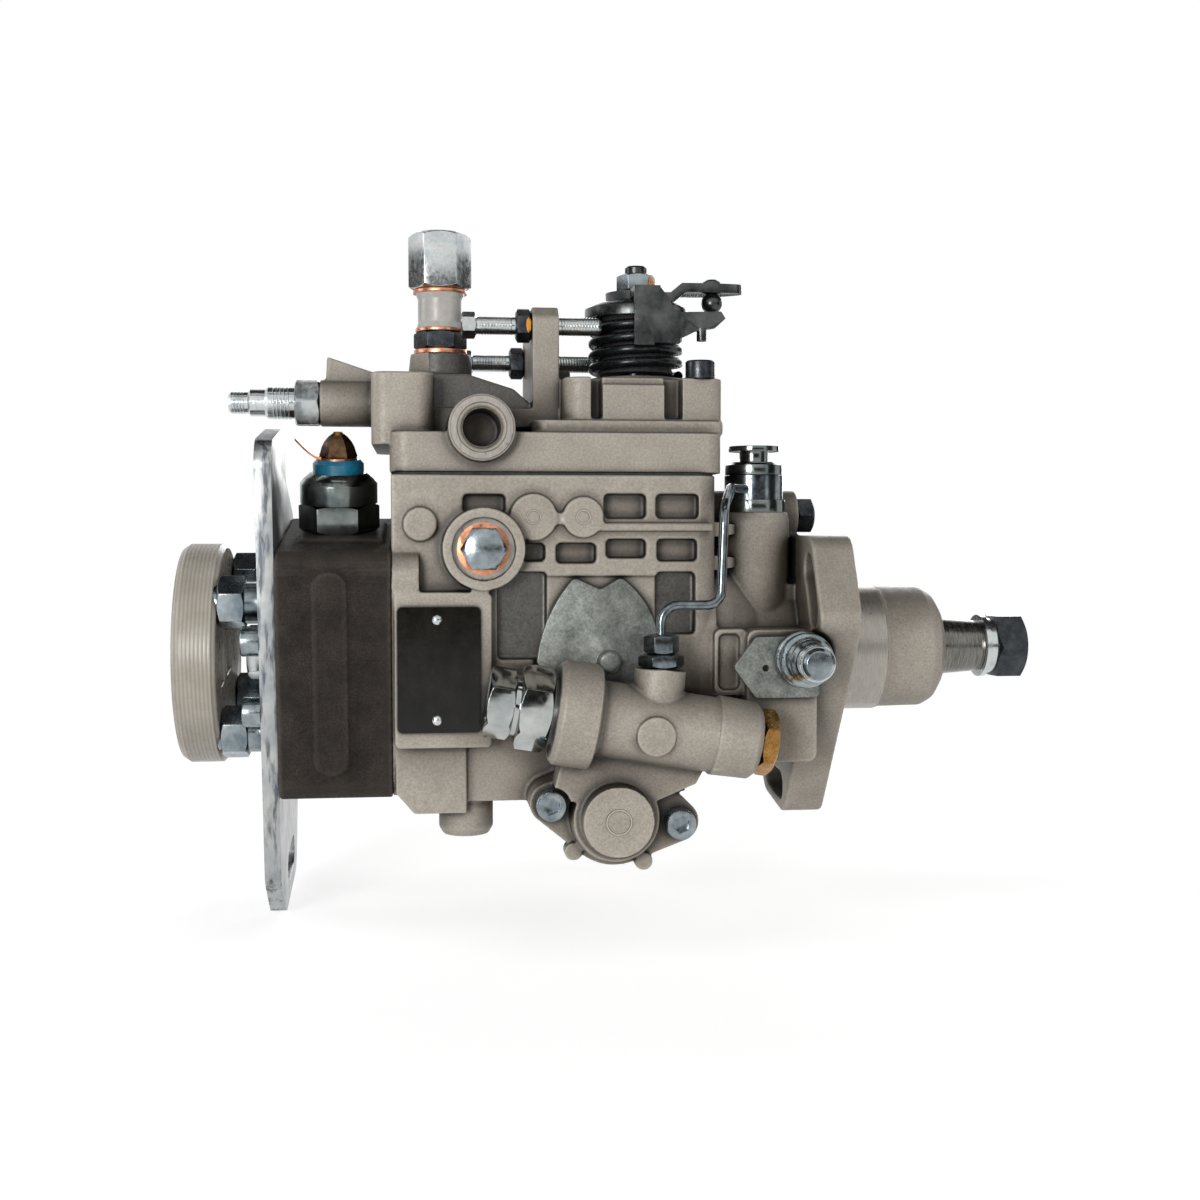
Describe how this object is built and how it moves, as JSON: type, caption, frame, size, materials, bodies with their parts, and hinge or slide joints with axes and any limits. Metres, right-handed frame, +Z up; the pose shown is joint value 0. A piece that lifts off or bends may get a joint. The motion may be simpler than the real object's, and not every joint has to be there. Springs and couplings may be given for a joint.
{
  "type": "diesel injection pump",
  "caption": "Rotary distributor diesel injection pump with slotted mounting flange, tapered drive shaft, governor cover, steel head and timing device.",
  "frame": {"origin": "on the drive shaft's axis, at the mounting face of the flange", "axes": "+X along the drive shaft towards its nut, +Z up through the governor cover, -Y the side with the name plate and the cold-start cylinder"},
  "size_m": [0.303, 0.1338, 0.2359],
  "materials": {
    "cast_aluminium": "sand-cast, satin",
    "head_phosphate": "dark phosphate, matt",
    "zinc_plate": "bright zinc plating",
    "zinc_bolt": "bright zinc plating",
    "dark_steel": "dark blued steel",
    "chrome_fitting": "polished plating",
    "pipe_steel": "drawn steel, plated",
    "lever_steel": "pressed steel, plated",
    "shaft_steel": "ground steel",
    "spring_steel": "oiled spring steel",
    "copper": "bare copper",
    "brass": "machined brass",
    "bronze": "machined bronze",
    "rubber": "matt rubber",
    "cap_plastic": "translucent moulded plastic",
    "blue_plastic": "moulded blue plastic",
    "white_plastic": "moulded white plastic",
    "black_plate": "black enamel"
  },
  "bodies": {
    "pump_body": {"pump_housing": "cast_aluminium", "governor_cover": "cast_aluminium", "timing_cover": "cast_aluminium", "spring_side_cover": "cast_aluminium", "distributor_head": "head_phosphate", "rear_bracket": "zinc_plate", "side_plate": "zinc_plate", "lock_plate": "zinc_plate", "socket_screws": "zinc_bolt", "delivery_valve_holders": "zinc_bolt", "head_plug": "zinc_bolt", "solenoid_body": "zinc_bolt", "overflow_bolt": "zinc_bolt", "full_load_screw": "zinc_bolt", "stop_screws": "zinc_bolt", "side_plug": "zinc_bolt", "lock_bolt": "zinc_bolt", "pressure_regulator": "zinc_bolt", "overflow_fitting": "dark_steel", "lock_nuts": "dark_steel", "governor_shaft": "dark_steel", "throttle_spring": "dark_steel", "cold_start_fitting": "chrome_fitting", "fuel_pipe": "pipe_steel", "pipe_nut": "pipe_steel", "vane_ring": "shaft_steel", "timing_spring": "spring_steel", "plunger_springs": "spring_steel", "governor_spring": "spring_steel", "copper_washers": "copper", "cold_start_plug": "brass", "solenoid_terminal": "brass", "shaft_bush": "bronze", "shaft_seal": "rubber", "cover_gasket": "rubber", "outlet_cap": "cap_plastic", "solenoid_insulator": "blue_plastic", "overflow_spacer": "white_plastic", "name_plate": "black_plate"},
    "drive_shaft": {"drive_shaft": "shaft_steel", "shaft_key": "shaft_steel", "shaft_nut": "dark_steel", "shaft_washer": "zinc_bolt", "drive_gear": "shaft_steel", "vane_rotor": "shaft_steel"},
    "cam_plate": {"cam_plate": "shaft_steel", "plunger": "shaft_steel"},
    "roller_ring": {"roller_ring": "shaft_steel", "rollers": "shaft_steel"},
    "timing_piston": {"timing_piston": "shaft_steel"},
    "governor_cage": {"governor_gear": "shaft_steel", "flyweights": "shaft_steel"},
    "governor_sleeve": {"governor_sleeve": "shaft_steel"},
    "governor_lever": {"governor_lever": "shaft_steel"},
    "control_collar": {"control_collar": "shaft_steel"},
    "throttle": {"throttle_shaft": "lever_steel", "throttle_lever": "lever_steel", "throttle_nut": "zinc_bolt"},
    "armature": {"solenoid_armature": "shaft_steel"}
  },
  "joints": [
    {"name": "drive_shaft_spin", "type": "hinge", "parent": "pump_body", "child": "drive_shaft", "pos_m": [0, 0, 0], "axis": [1, 0, 0], "continuous": true},
    {"name": "cam_plate_stroke", "type": "slide", "parent": "drive_shaft", "child": "cam_plate", "axis": [1, 0, 0], "range_m": [0, 0.002], "deforming": ["plunger_springs"]},
    {"name": "governor_spin", "type": "hinge", "parent": "pump_body", "child": "governor_cage", "pos_m": [0, 0, 0.048], "axis": [1, 0, 0], "continuous": true},
    {"name": "timing_piston_slide", "type": "slide", "parent": "pump_body", "child": "timing_piston", "axis": [0, 1, 0], "range_m": [0, 0.0071], "deforming": ["timing_spring"]},
    {"name": "roller_ring_turn", "type": "hinge", "parent": "pump_body", "child": "roller_ring", "pos_m": [0, 0, 0], "axis": [1, 0, 0], "range_deg": [0, 8.1]},
    {"name": "governor_sleeve_slide", "type": "slide", "parent": "pump_body", "child": "governor_sleeve", "axis": [-1, 0, 0], "range_m": [0, 0.0023]},
    {"name": "governor_lever_turn", "type": "hinge", "parent": "pump_body", "child": "governor_lever", "pos_m": [-0.12, 0, 0.023], "axis": [0, -1, 0], "range_deg": [0, 6.9], "deforming": ["governor_spring"]},
    {"name": "control_collar_slide", "type": "slide", "parent": "pump_body", "child": "control_collar", "axis": [1, 0, 0], "range_m": [0, 0.00165]},
    {"name": "throttle_lever_turn", "type": "hinge", "parent": "pump_body", "child": "throttle", "pos_m": [-0.067, 0, 0.11], "axis": [0, 0, -1], "range_deg": [0, 31], "stiffness_Nm_per_rad": 0.8, "springref_deg": -34.38},
    {"name": "armature_slide", "type": "slide", "parent": "pump_body", "child": "armature", "axis": [0, -0.1564, 0.9877], "range_m": [0, 0.0012], "stiffness_N_per_m": 900, "springref_m": -0.003}
  ],
  "couplings": [
    {"joint": "governor_spin", "follows": "drive_shaft_spin", "ratio": -1.56},
    {"joint": "timing_piston_slide", "follows": "roller_ring_turn", "m_per_rad": 0.05},
    {"joint": "governor_sleeve_slide", "follows": "governor_lever_turn", "m_per_rad": 0.0184},
    {"joint": "control_collar_slide", "follows": "governor_lever_turn", "m_per_rad": 0.0133}
  ]
}
